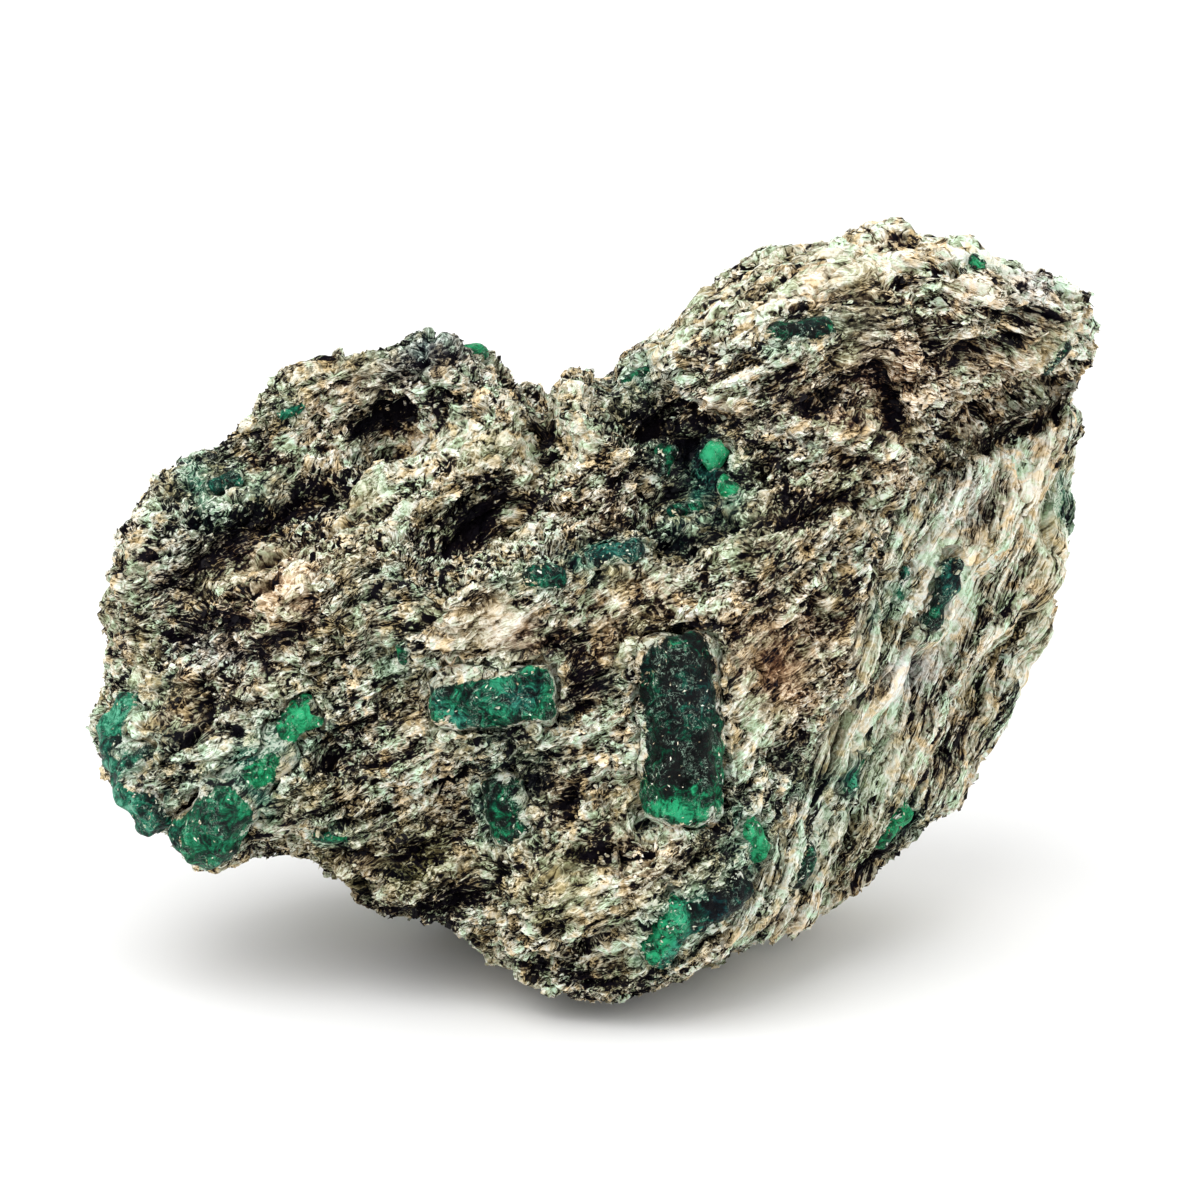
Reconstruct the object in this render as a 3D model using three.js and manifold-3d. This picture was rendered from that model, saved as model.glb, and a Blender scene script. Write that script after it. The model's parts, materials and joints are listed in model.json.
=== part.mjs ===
// A hand specimen of emerald in matrix: a loose block of mica schist, about 102 mm wide, with
// hexagonal emerald crystals set in pockets in it. Millimetres, +Z up, the show face towards -Y.
// The block stands on a small worn flat under its middle. Its origin is the middle of its base.
import * as THREE from "three";
import { ImprovedNoise } from "three/addons/math/ImprovedNoise.js";
import { mergeVertices } from "three/addons/utils/BufferGeometryUtils.js";
import Module from "manifold-3d";

const wasm = await Module();
wasm.setup();

// The show face leans back by LEAN. A place on the block is given as [across, up, out]: across to the
// right, up the leaning face, and out of the face towards whoever looks at it.
const LEAN = THREE.MathUtils.degToRad(15);
const ACROSS = new THREE.Vector3(1, 0, 0);
const UP = new THREE.Vector3(0, Math.sin(LEAN), Math.cos(LEAN));
const OUT = new THREE.Vector3(0, -Math.cos(LEAN), Math.sin(LEAN));

// Driving sizes of the block
const CENTRE = [0, -4]; // the point of the face that the block is built round
const FRONT_DEPTH = 23;
const BACK_DEPTH = 31;
const BOXINESS = 0.66; // 1 makes the block's cross-sections round, less makes them squarer
const BASE_LEVEL = -34.9; // height of the worn flat that the block stands on, before it is set at zero
const SPHERE_DETAIL = 15; // 20 * (detail + 1)^2 triangles
const FRONT_SHARE = 0.22; // gives the front more of the triangles than the back
const OUTLINE_STEPS = 720; // directions in which the outline is measured
const EDGE_SAMPLES = 200; // points measured on each edge of the outline
// Degrees over which the outline is blurred at the rim, near it and towards the middle of a side
const RIM_BLUR = 1;
const NEAR_BLUR = 7;
const MIDDLE_BLUR = 26;
const NEAR_POWER = 2; // how the blurs give way to each other between the middle and the rim
const RIM_POWER = 6;
const SIDE_EASE = 0.35; // slope over which the front's relief, or the back's, fades in

// The outline of the block, seen square on to its leaning face: [across, up]
const OUTLINE = [
  [45.4, 1], [43.4, 2.8], [45.4, 6.3], [48.0, 15.2], [48.2, 19.3], [46.8, 20.6], [50.6, 28], [49.6, 30.2],
  [43.2, 34.4], [39.4, 38.6], [35.0, 37.0], [30.4, 37.2], [26.4, 37.8], [19.6, 35.4], [10.6, 30.6], [7.6, 27.2],
  [2.4, 22.8], [1.5, 20.9], [-2.0, 21.8], [-4.9, 19.2], [-9.0, 21.4], [-12.6, 24.4], [-16.4, 24.2], [-21.6, 23.0],
  [-27.4, 23.6], [-33.4, 19.4], [-42.8, 12.8], [-47.9, 5.8], [-49.8, -1], [-48.4, -9.2], [-50.4, -12.8],
  [-50.0, -16.6], [-46.4, -20.2], [-42.8, -22.2], [-40.6, -22.2], [-39.8, -24.8], [-37.6, -25.8],
  [-32.4, -23.2], [-29.2, -24.2], [-21.8, -30.8], [-18.6, -31.8], [-15.0, -30.8], [-9.8, -35.6], [5.0, -38.5],
  [14.0, -34.2], [21.2, -31.0], [31.8, -24.4], [37.0, -18], [42.0, -8.4], [44.8, -4],
];
// How far the outline stands out of the plane of the face, by direction: [degrees, out]
const OUTLINE_OUT = [[0, -5], [45, -4], [90, -5], [150, -3], [180, 0], [215, 3], [250, 7], [275, 8], [310, 4]];

// Broad flat faces that cut the block: [across, up, out] of the outward direction, and distance
const FLATS = [
  { facing: [0.68, -0.27, 0.68], distance: 27.6 }, // the streaked right-hand face
  { facing: [-0.3, 0.5, 0.8], distance: 26.5 }, // slope over the left shoulder
  { facing: [0.25, 0.12, -0.96], distance: 24 }, // back
  { facing: [-0.62, 0.2, -0.76], distance: 31 }, // back left
  { facing: [0.2, 0.75, -0.63], distance: 33 }, // back top
  { facing: [-0.35, 0.72, -0.6], distance: 27 }, // back of the left shoulder
  { facing: [0.8, -0.1, -0.6], distance: 43 }, // back right
  { facing: [-0.25, -0.6, -0.76], distance: 30 }, // underside at the back left
];

// Lumps stand out of the front and pits go into it: [across, up, half length, half width, degrees, height]
const LUMPS = [
  [-17, 24, 7, 4, 15, 3.4], // crown of the left dome
  [-29, 21, 7, 3, 25, 2], // left shoulder
  [-22, -1, 16, 5, 8, 4], // nose of the left lobe
  [-28.5, 0, 5, 4, 60, 2],
  [-1, 18, 6, 5, 20, 3.6], // block in the saddle
  [8.7, -13, 7, 12, 0, 3.4], // boss round the largest crystal
  [2, -29, 17, 8, 5, 4.4], // swelling over the foot
  [-39, -19, 9, 6, -15, 3], // crystal cluster at the lower left
  [-38.5, -24, 4.5, 4, 0, 2.2],
  [19, 26, 14, 6, 12, 4.6], // brow of the right lobe
  [39, 28, 8, 5, -15, 3.4],
  [27, 14.5, 9, 3, -42, 3.8], // rib that runs down to the edge of the streaked face
  [21, -11, 22, 2.6, 68, 2], // edge of the streaked face
  [38, 5, 20, 2.2, 62, 1.8], // strands along the streaked face
  [31, -14, 16, 2, 58, 1.6],
  [14, 4, 8, 6, 0, 1.4],
  [-10, -3, 8, 4, 10, 2.2],
  [-11, -10.5, 8, 3.5, 5, 1.6],
  [-4, 2.5, 10, 3, 18, 2],
  [-24, -23, 8, 3, -25, 2.2],
];
const PITS = [
  [-21.3, 18, 4.4, 2, 12, 6], // hollow under the left dome
  [-11.5, 8, 5, 2.3, 38, 5],
  [-5.6, 15.5, 5, 1.6, 95, 5.5], // crack between the left dome and the saddle
  [-38, 2.5, 7, 2, 35, 2.6],
  [-42, -3, 7, 2, -10, 2.6],
  [-33, -5.5, 8, 2.2, -12, 3],
  [8.5, 16.5, 6, 3, -28, 6.5], // gap under the brow of the right lobe
  [6.5, 10.5, 2, 4, 5, 4.4],
  [17, 9.5, 8, 2, 20, 3.4],
  [28.5, 20, 5, 2, -60, 4],
  [24, 19.5, 3.5, 1.8, 25, 3.4],
  [40, 17.6, 10, 2, 24, 5], // groove between the right lobe and the streaked face
  [33, 12.5, 7, 1.6, 38, 3.4],
  [-25.4, -15.3, 2.8, 2.6, 20, 3],
  [-10, -18.5, 6, 3, 0, 3.4],
  [-20, -27.5, 9, 2.6, 15, 4],
  [-12, -27, 6, 1.8, 100, 3.6],
  [39.5, 24, 6, 2.2, -15, 2.6],
  [33.6, -6, 12, 1.8, 60, 2.4],
  [28, -26.5, 7, 1.8, 42, 3],
  [40, -9, 6, 1.6, 50, 2.4],
  [31, 30, 5, 1.4, -55, 2.8],
];
// Lumps and pits of the back, seen from the same side: hollows where layers broke away
const BACK_LUMPS = [
  [-26, 8, 14, 6, -20, 4], [14, 18, 12, 6, 15, 4.4], [24, -8, 12, 7, 30, 4], [-6, -14, 14, 8, 0, 4],
  [-38, -12, 7, 7, 0, 3], [0, -28, 18, 7, 0, 3.5],
];
const BACK_PITS = [
  [-8, 8, 12, 2.8, -22, 5], [30, 6, 10, 2.4, 35, 4.4], [-28, -6, 10, 2.4, -15, 4], [6, -6, 9, 2.2, 12, 4],
  [34, 24, 8, 2.4, -30, 4], [-20, -22, 9, 2.2, 20, 3.4],
];

// Layering of the schist: ledges step along LAYER_FACING, which is square to the layers
const LAYER_FACING = new THREE.Vector3(-0.31, -0.65, 0.69).normalize();
const LEDGES = [{ spacing: 9.5, height: 1.9 }, { spacing: 5.6, height: 0.8 }];
const LEDGE_RISE = 0.75; // of the spacing, and the rest of it is the step
const LAYER_WAVE = { size: 24, height: 3.2 };
// Roughness: noise that moves the surface in and out
const ROUGHNESS = [{ size: 13, height: 2.2 }, { size: 6.5, height: 1.3 }, { size: 3.6, height: 0.6 }];

// Crystals: [name, across and up of the middle, degrees of the axis, length, width across flats, how proud
// it stands, colour]. Prisms that share a name have grown together.
const FRONT_CRYSTALS = [
  ["emerald_main", 8, -12.4, 91, 18.8, 7.8, 2, "dark"],
  ["emerald_centre_left", -10.4, -10.2, 6, 12.4, 6, 0.9, "dark"],
  ["emerald_lower_centre", -9.3, -20.2, 108, 7.4, 4.4, 1.2, "dark"],
  ["emerald_lower_right", 15.2, -23, -35, 4.8, 3.4, 0.8, "bright"],
  ["emerald_foot_cluster", 6.9, -32, 76, 8.6, 3.6, 1, "pale"],
  ["emerald_foot_cluster", 12, -29.2, 24, 7.4, 3.8, 0.9, "dark"],
  ["emerald_edge_cluster", -47.3, -11.6, 35, 6.4, 4.2, 1.4, "bright"],
  ["emerald_edge_cluster", -46.6, -15.4, -4, 7.4, 3.6, 0.9, "dark"],
  ["emerald_edge_cluster", -45.2, -19.8, -38, 7.2, 4.4, 1.5, "pale"],
  ["emerald_left_cluster", -37.6, -22.2, 62, 8.8, 6.2, 1.5, "dark"],
  ["emerald_left_cluster", -29.8, -11.8, 32, 6, 3.4, 0.8, "bright"],
  ["emerald_left_cluster", -33, -16.6, 42, 8.4, 4.4, 0.8, "bright"],
  ["emerald_left_sliver", -26.2, -23.2, 8, 4.6, 1.8, 0.4, "bright"],
  ["emerald_bead", 11.1, 14.2, 40, 3.2, 2.8, 1.3, "bright"],
  ["emerald_bead_low", 12.6, 11.2, -50, 2.8, 2, 0.7, "bright"],
  ["emerald_gap", 6.4, 13.6, 75, 4, 2.2, 0.7, "dark"],
  ["emerald_gap_low", 8.4, 8.9, 8, 4, 2, 0.6, "dark"],
  ["emerald_band_right", 1.2, 4.6, 15, 6, 2.4, 0.5, "dark"],
  ["emerald_band_left", -5.2, 2.6, 12, 4.4, 2, 0.5, "dark"],
  ["emerald_brow", 19.4, 26.2, 14, 7, 2.6, 0.5, "dark"],
  ["emerald_crown", -12.4, 25, 125, 3.2, 2.4, 0.7, "bright"],
  ["emerald_shoulder", -30.6, 18.8, 28, 3.6, 1.8, 0.5, "pale"],
  ["emerald_upper_left", -37, 11.6, 20, 4, 2.4, 0.8, "pale"],
  ["emerald_outer_left", -42.4, 12.8, 45, 3, 1.8, 0.5, "dark"],
  ["emerald_small_centre", -19.1, -5.3, 98, 2.8, 1.8, 0.6, "bright"],
  ["emerald_face_upper", 29.8, 1.4, 70, 4.6, 2.2, 0.6, "dark"],
  ["emerald_face_long", 34.2, 0.4, 73, 8.4, 2.6, 0.5, "dark"],
  ["emerald_face_low", 25, -17.4, 62, 5, 2.8, 0.7, "bright"],
  ["emerald_edge_right", 29, -22.6, 60, 5.4, 3.4, 0.9, "bright"],
  ["emerald_face_foot", 20.2, -26, 52, 4.6, 2.6, 0.6, "dark"],
  ["emerald_top_right", 37.2, 33.2, -20, 2.6, 1.8, 0.7, "bright"],
  ["emerald_right_tip", 45.4, 23.8, 78, 4.6, 2, 0.6, "dark"],
  ["emerald_notch", 3.5, 22, 68, 4, 2, 0.7, "dark"],
];
// The same on the back, with their places seen through the block
const BACK_CRYSTALS = [
  ["emerald_back_large", -16, 2, 25, 14, 6.4, 1.8, "dark"],
  ["emerald_back_right", 26, 14, 70, 9, 4.4, 1.3, "bright"],
  ["emerald_back_low", 12, -16, -20, 10, 5.2, 1.4, "dark"],
  ["emerald_back_left", -36, -10, 100, 7, 3.8, 1.1, "bright"],
  ["emerald_back_top", 4, 10, 10, 6, 3, 0.9, "dark"],
];
const CRYSTAL_SIDES = 6;
const CRYSTAL_BEVEL = 0.14; // of the width
const POCKET_GAP = 0.3;
// A crystal lies along the mean slope of the block within this reach of it: a share of its length, and more
const SEAT_SHARE = 0.4;
const SEAT_MARGIN = 3;
const FAR = 200; // well outside the block

// Colours of the plain model
const COLOURS = { schist: 0x8d8b78, dark: 0x0d4a3c, bright: 0x178a55, pale: 0x5fa88a };

const noise = new ImprovedNoise();
const place = (across, up, out) =>
  new THREE.Vector3().addScaledVector(ACROSS, across).addScaledVector(UP, up).addScaledVector(OUT, out);

// Radius of the outline about CENTRE for each direction, blurred over some degrees
function outlineRadii(blurDegrees) {
  const points = OUTLINE.map(([across, up]) => new THREE.Vector2(across - CENTRE[0], up - CENTRE[1]));
  const radii = new Array(OUTLINE_STEPS).fill(0);
  points.forEach((start, i) => {
    const end = points[(i + 1) % points.length];
    for (let k = 0; k <= EDGE_SAMPLES; k += 1) {
      const p = start.clone().lerp(end, k / EDGE_SAMPLES);
      const step = Math.round((p.angle() / (2 * Math.PI)) * OUTLINE_STEPS) % OUTLINE_STEPS;
      radii[step] = p.length();
    }
  });
  const reach = Math.round((blurDegrees * OUTLINE_STEPS) / 360);
  return radii.map((_, i) => {
    let sum = 0;
    let weights = 0;
    for (let k = -reach; k <= reach; k += 1) {
      const weight = Math.cos((k / (reach + 1)) * (Math.PI / 2)) ** 2;
      sum += weight * radii[(i + k + OUTLINE_STEPS) % OUTLINE_STEPS];
      weights += weight;
    }
    return sum / weights;
  });
}

// A value that is given for some directions, in degrees, and eased between them
function byDirection(stops, degrees) {
  const next = stops.findIndex(([at]) => at > degrees);
  const [endAt, end] = next < 0 ? [stops[0][0] + 360, stops[0][1]] : stops[next];
  const [startAt, start] = next < 0 ? stops[stops.length - 1] : stops[next - 1];
  return start + (end - start) * THREE.MathUtils.smoothstep(degrees, startAt, endAt);
}

const RIM = outlineRadii(RIM_BLUR);
const NEAR = outlineRadii(NEAR_BLUR);
const MIDDLE = outlineRadii(MIDDLE_BLUR);

// The point of the plain block in a direction from its centre. The outline is sharp at the rim and
// softens towards the middle of the front and of the back.
function blockPoint(direction) {
  const angle = (Math.atan2(direction.y, direction.x) + 2 * Math.PI) % (2 * Math.PI);
  const step = (angle / (2 * Math.PI)) * OUTLINE_STEPS;
  const low = Math.floor(step) % OUTLINE_STEPS;
  const share = step - Math.floor(step);
  const radius = (table) => table[low] * (1 - share) + table[(low + 1) % OUTLINE_STEPS] * share;
  const rim = Math.min(1, Math.hypot(direction.x, direction.y));
  const outline = THREE.MathUtils.lerp(
    THREE.MathUtils.lerp(radius(MIDDLE), radius(NEAR), rim ** NEAR_POWER),
    radius(RIM),
    rim ** RIM_POWER,
  );
  const reach = outline * rim ** BOXINESS;
  const depth = Math.abs(direction.z) ** BOXINESS * (direction.z > 0 ? FRONT_DEPTH : -BACK_DEPTH);
  const point = [
    reach * Math.cos(angle),
    reach * Math.sin(angle),
    depth + byDirection(OUTLINE_OUT, THREE.MathUtils.radToDeg(angle)) * rim ** 2,
  ];
  for (const flat of FLATS) {
    const size = Math.hypot(...flat.facing);
    const along = (point[0] * flat.facing[0] + point[1] * flat.facing[1] + point[2] * flat.facing[2]) / size;
    if (along > flat.distance) point.forEach((value, i) => (point[i] = (value * flat.distance) / along));
  }
  return place(point[0] + CENTRE[0], point[1] + CENTRE[1], point[2]);
}

// Height of the lumps or pits in a list at a place of the face
function relief(list, across, up) {
  let height = 0;
  for (const [a, b, halfLength, halfWidth, degrees, most] of list) {
    const turn = THREE.MathUtils.degToRad(degrees);
    const along = (across - a) * Math.cos(turn) + (up - b) * Math.sin(turn);
    const over = (up - b) * Math.cos(turn) - (across - a) * Math.sin(turn);
    height += most * Math.exp(-((along / halfLength) ** 2) - (over / halfWidth) ** 2);
  }
  return height;
}

// Waves between -1 and 1 that change over about the given size
function wave(point, size, seed) {
  return noise.noise(point.x / size + seed, point.y / size, point.z / size);
}

// Stepped height of the schist's layers at a point
function ledges(point) {
  const bent = point.dot(LAYER_FACING) + LAYER_WAVE.height * wave(point, LAYER_WAVE.size, 40);
  let height = 0;
  for (const { spacing, height: most } of LEDGES) {
    const strength = 0.5 + wave(point, spacing * 2.5, spacing);
    const share = bent / spacing - Math.floor(bent / spacing);
    const rise = share < LEDGE_RISE ? share / LEDGE_RISE : (1 - share) / (1 - LEDGE_RISE);
    height += most * strength * (rise - 0.5) * 2;
  }
  return height;
}

// Moves each vertex along its normal by a height
function displace(geometry, heightAt) {
  geometry.computeVertexNormals();
  const { position, normal } = geometry.attributes;
  for (let i = 0; i < position.count; i += 1) {
    const point = new THREE.Vector3().fromBufferAttribute(position, i);
    const out = new THREE.Vector3().fromBufferAttribute(normal, i);
    point.addScaledVector(out, heightAt(point, out));
    position.setXYZ(i, point.x, point.y, point.z);
  }
  geometry.deleteAttribute("normal");
}

// The block of schist, without its base cut or its pockets
function schistGeometry() {
  const sphere = new THREE.IcosahedronGeometry(1, SPHERE_DETAIL);
  sphere.deleteAttribute("normal");
  sphere.deleteAttribute("uv");
  const block = mergeVertices(sphere, 1e-4);
  const { position } = block.attributes;
  for (let i = 0; i < position.count; i += 1) {
    const direction = new THREE.Vector3().fromBufferAttribute(position, i).normalize();
    direction.z += FRONT_SHARE;
    const point = blockPoint(direction.normalize());
    position.setXYZ(i, point.x, point.y, point.z);
  }
  displace(block, (point, out) => {
    const front = THREE.MathUtils.smoothstep(out.dot(OUT), 0, SIDE_EASE);
    const back = THREE.MathUtils.smoothstep(-out.dot(OUT), 0, SIDE_EASE);
    const [across, up] = [point.dot(ACROSS), point.dot(UP)];
    return (
      front * (relief(LUMPS, across, up) - relief(PITS, across, up)) +
      back * (relief(BACK_LUMPS, across, up) - relief(BACK_PITS, across, up))
    );
  });
  displace(block, (point) => {
    const rough = ROUGHNESS.reduce((sum, { size, height }) => sum + height * wave(point, size, size), 0);
    return rough + ledges(point);
  });
  return block;
}

// A hexagonal prism along +Y with bevelled ends, and the plain prism of its pocket
function prismGeometry(profile) {
  return new THREE.LatheGeometry(profile.map(([x, y]) => new THREE.Vector2(x, y)), CRYSTAL_SIDES);
}
function crystalGeometry({ length, width }) {
  const radius = width / 2 / Math.cos(Math.PI / CRYSTAL_SIDES);
  const half = length / 2;
  const bevel = CRYSTAL_BEVEL * width;
  return prismGeometry([
    [0, -half],
    [radius - bevel, -half],
    [radius, bevel - half],
    [radius, half - bevel],
    [radius - bevel, half],
    [0, half],
  ]);
}
function pocketGeometry({ length, width }) {
  const radius = (width / 2 + POCKET_GAP) / Math.cos(Math.PI / CRYSTAL_SIDES);
  const half = length / 2 + POCKET_GAP;
  return prismGeometry([[0, -half], [radius, -half], [radius, half], [0, half]]);
}

// Where a crystal lies: its axis in the surface, one flat side facing out, sunk so that it stands proud
function seatCrystal(crystal, block, blockMesh) {
  const start = place(crystal.across, crystal.up, crystal.side * FAR);
  const inward = OUT.clone().multiplyScalar(-crystal.side);
  const [hit] = new THREE.Raycaster(start, inward).intersectObject(blockMesh);
  if (!hit) throw new Error(crystal.name + " misses the block");
  const normal = new THREE.Vector3();
  const { position, normal: normals } = block.attributes;
  const vertex = new THREE.Vector3();
  for (let i = 0; i < position.count; i += 1) {
    vertex.fromBufferAttribute(position, i);
    if (vertex.distanceTo(hit.point) < crystal.length * SEAT_SHARE + SEAT_MARGIN) {
      normal.add(new THREE.Vector3().fromBufferAttribute(normals, i));
    }
  }
  normal.normalize();
  const turn = THREE.MathUtils.degToRad(crystal.turn);
  const axis = place(Math.cos(turn), Math.sin(turn), 0);
  axis.addScaledVector(normal, -axis.dot(normal)).normalize();
  const flatSide = THREE.MathUtils.degToRad(180 / CRYSTAL_SIDES);
  const frame = new THREE.Matrix4().makeBasis(new THREE.Vector3().crossVectors(axis, normal), axis, normal);
  const rotation = new THREE.Quaternion()
    .setFromRotationMatrix(frame)
    .multiply(new THREE.Quaternion().setFromAxisAngle(new THREE.Vector3(0, 1, 0), flatSide));
  const middle = hit.point.clone().addScaledVector(normal, crystal.proud - crystal.width / 2);
  return new THREE.Matrix4().compose(middle, rotation, new THREE.Vector3(1, 1, 1));
}

// A closed geometry as a manifold-3d solid, and back
function solidOf(geometry) {
  const bare = geometry.clone();
  bare.deleteAttribute("normal");
  bare.deleteAttribute("uv");
  const merged = mergeVertices(bare, 1e-4);
  return new wasm.Manifold(
    new wasm.Mesh({
      numProp: 3,
      vertProperties: new Float32Array(merged.attributes.position.array),
      triVerts: new Uint32Array(merged.index.array),
    }),
  );
}
function geometryOf(solid) {
  const mesh = solid.getMesh();
  const geometry = new THREE.BufferGeometry();
  geometry.setAttribute("position", new THREE.BufferAttribute(mesh.vertProperties, 3));
  geometry.setIndex(new THREE.BufferAttribute(mesh.triVerts, 1));
  return geometry;
}
const largestPiece = (solid) => solid.decompose().sort((a, b) => b.volume() - a.volume())[0];

function material(colour, roughness) {
  return new THREE.MeshStandardMaterial({ color: colour, roughness, metalness: 0 });
}

const block = schistGeometry();
block.computeVertexNormals();
const blockMesh = new THREE.Mesh(block, material(COLOURS.schist, 0.8));
blockMesh.updateMatrixWorld();
const onSide = (side) => ([name, across, up, turn, length, width, proud, tone]) =>
  ({ side, name, across, up, turn, length, width, proud, tone });
const crystals = [...FRONT_CRYSTALS.map(onSide(1)), ...BACK_CRYSTALS.map(onSide(-1))];
const seats = crystals.map((crystal) => seatCrystal(crystal, block, blockMesh));

// Everything under the base level is cut away, then a pocket for each crystal
const GROUND_SIZE = 300;
const ground = new THREE.BoxGeometry(GROUND_SIZE, GROUND_SIZE, GROUND_SIZE).translate(
  0,
  0,
  BASE_LEVEL - GROUND_SIZE / 2,
);
let schist = solidOf(block).subtract(solidOf(ground));
crystals.forEach((crystal, i) => {
  schist = schist.subtract(solidOf(pocketGeometry(crystal).applyMatrix4(seats[i])));
});
schist = largestPiece(schist);

const specimen = new THREE.Group();
const matrix = new THREE.Mesh(geometryOf(schist), material(COLOURS.schist, 0.8));
matrix.name = "matrix";
specimen.add(matrix);
// Prisms that share a name have grown together, so they are joined in one solid
const grown = new Map();
crystals.forEach((crystal, i) => {
  const prism = solidOf(crystalGeometry(crystal).applyMatrix4(seats[i]));
  const joined = grown.has(crystal.name) ? grown.get(crystal.name).solid.add(prism) : prism;
  grown.set(crystal.name, { solid: joined, tone: crystal.tone });
});
for (const [name, { solid, tone }] of grown) {
  const emerald = new THREE.Mesh(geometryOf(solid), material(COLOURS[tone], 0.35));
  emerald.name = name;
  specimen.add(emerald);
}

// The origin is put in the middle of the base
const extent = new THREE.Box3().setFromObject(specimen, true);
const middle = extent.getCenter(new THREE.Vector3());
specimen.position.set(-middle.x, -middle.y, -extent.min.z);

export default specimen;
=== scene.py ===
import itertools
import json
import math

import bmesh
import bpy
import numpy as np
from mathutils import Matrix, Vector
from mathutils.bvhtree import BVHTree
from mathutils.kdtree import KDTree


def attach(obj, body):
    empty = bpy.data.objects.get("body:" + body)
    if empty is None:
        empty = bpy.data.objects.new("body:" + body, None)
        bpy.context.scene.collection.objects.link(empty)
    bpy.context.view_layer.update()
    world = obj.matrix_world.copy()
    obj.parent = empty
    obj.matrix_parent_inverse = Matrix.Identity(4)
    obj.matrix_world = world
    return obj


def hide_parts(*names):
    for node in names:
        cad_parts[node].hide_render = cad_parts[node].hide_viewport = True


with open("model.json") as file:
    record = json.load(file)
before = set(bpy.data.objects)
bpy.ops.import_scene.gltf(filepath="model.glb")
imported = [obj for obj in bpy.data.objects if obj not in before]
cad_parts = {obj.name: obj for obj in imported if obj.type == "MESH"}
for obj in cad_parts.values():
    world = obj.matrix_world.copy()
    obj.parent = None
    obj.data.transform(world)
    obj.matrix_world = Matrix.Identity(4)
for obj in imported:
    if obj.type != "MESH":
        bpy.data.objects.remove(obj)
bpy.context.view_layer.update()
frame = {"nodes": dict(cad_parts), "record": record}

MM = 0.001
SEED = 7

# The show face leans back by LEAN. A place on it is [across, up, out] in millimetres from FACE_ORIGIN,
# which is the middle of the picture.
LEAN = math.radians(15)
FACE_ORIGIN = np.array([0.377, 2.711, 34.9])
ACROSS = np.array([1.0, 0.0, 0.0])
UP = np.array([0.0, math.sin(LEAN), math.cos(LEAN)])
OUT = np.array([0.0, -math.cos(LEAN), math.sin(LEAN)])
FACE_AXES = np.stack([ACROSS, UP, OUT])

# Fineness of the meshes, in millimetres. The schist is twice as fine where it lies out past FINE_FROM.
SCHIST_VOXEL = 0.65
CRYSTAL_VOXEL = 0.34
FINE_FROM = -6.0

# Edge of the streaked right-hand face, as [across, up], and the groove over that face
FACE_EDGE = [(10, -36), (17, -23), (24, -8), (25, 0), (30.5, 11), (36, 17)]
FACE_TOP = [(26, 9), (30.5, 11), (45, 20), (54, 24)]
# Lower edge of the cap of the right lobe, the middle of the circles that its layers follow, and their reach
CAP_EDGE = [(2, 26), (8, 20), (20, 15), (30, 13), (40, 18), (54, 25)]
CAP_CENTRE = (27.0, 2.0)
CAP_REACH = 28

# Directions square to the layers, as [across, up, out]
MAIN_LAYERS = (-0.36, 0.74, 0.56)
FACE_LAYERS = (-0.78, 0.42, 0.46)
# How much slower the fibres change along the layers: on the streaked face, on the cap and elsewhere
STRAND_SHARES = (0.22, 0.6, 0.9)
# The same for the broken plates, which are only drawn out along their traces on the show face
PLATE_SHARES = (0.34, 0.6, 0.9)
# Millimetres that the broken layers lie lower than the plain block, so that their tops keep its outline
SETTLE = 0.15

# Crevices, sunk into the block and darkened with painted shade: [across, up, half length, half width,
# degrees, depth]
CREVICES = [
    (-21.3, 18, 3.4, 1.2, 12, 1.8), (-12, 7.6, 4, 1.6, 40, 2.0), (-5.5, 16, 3.6, 0.8, 95, 2.0),
    (-41, 2.5, 5, 1.0, 34, 1.6), (-35, 0.5, 4.5, 0.9, 28, 1.6), (-30, -3.5, 4, 0.8, 20, 1.4),
    (-38, -2.5, 5, 0.8, 12, 1.4), (-33, 7.5, 6, 1.0, 30, 1.6), (-27, 11.5, 5, 0.9, 32, 1.6),
    (7, 16.5, 5, 2.6, -30, 2.6), (6.5, 9, 2, 3, 10, 1.6), (16, 13, 4, 1, 25, 1.4),
    (19, 8.5, 5, 1.2, 12, 1.8), (43, 17.8, 7, 0.9, 25, 2.0), (32, 26.5, 4.5, 0.8, -60, 1.8),
    (28.5, 19, 3.6, 0.8, -64, 1.8), (36, 24, 5, 0.8, 12, 1.6), (24, 21, 3.5, 0.8, 30, 1.6),
    (-25.4, -15.2, 1.4, 1.6, 20, 1.2), (-7, -17.5, 3.4, 1.8, 10, 1.8), (-2, -6, 2, 3, 30, 1.4),
    (-16, -30.5, 5, 1.4, 20, 1.8), (-21, -26, 5, 1.0, -20, 1.6), (27.5, -28.5, 3, 1.0, 45, 1.6),
    (31.5, -7, 3.8, 1.0, 72, 1.6), (18, -15, 3.4, 0.9, 60, 1.4), (36, -14, 4, 0.8, 55, 1.4),
    (1, -24, 4, 0.9, 12, 1.4), (-30, -27, 4, 1, -30, 1.4),
]
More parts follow.
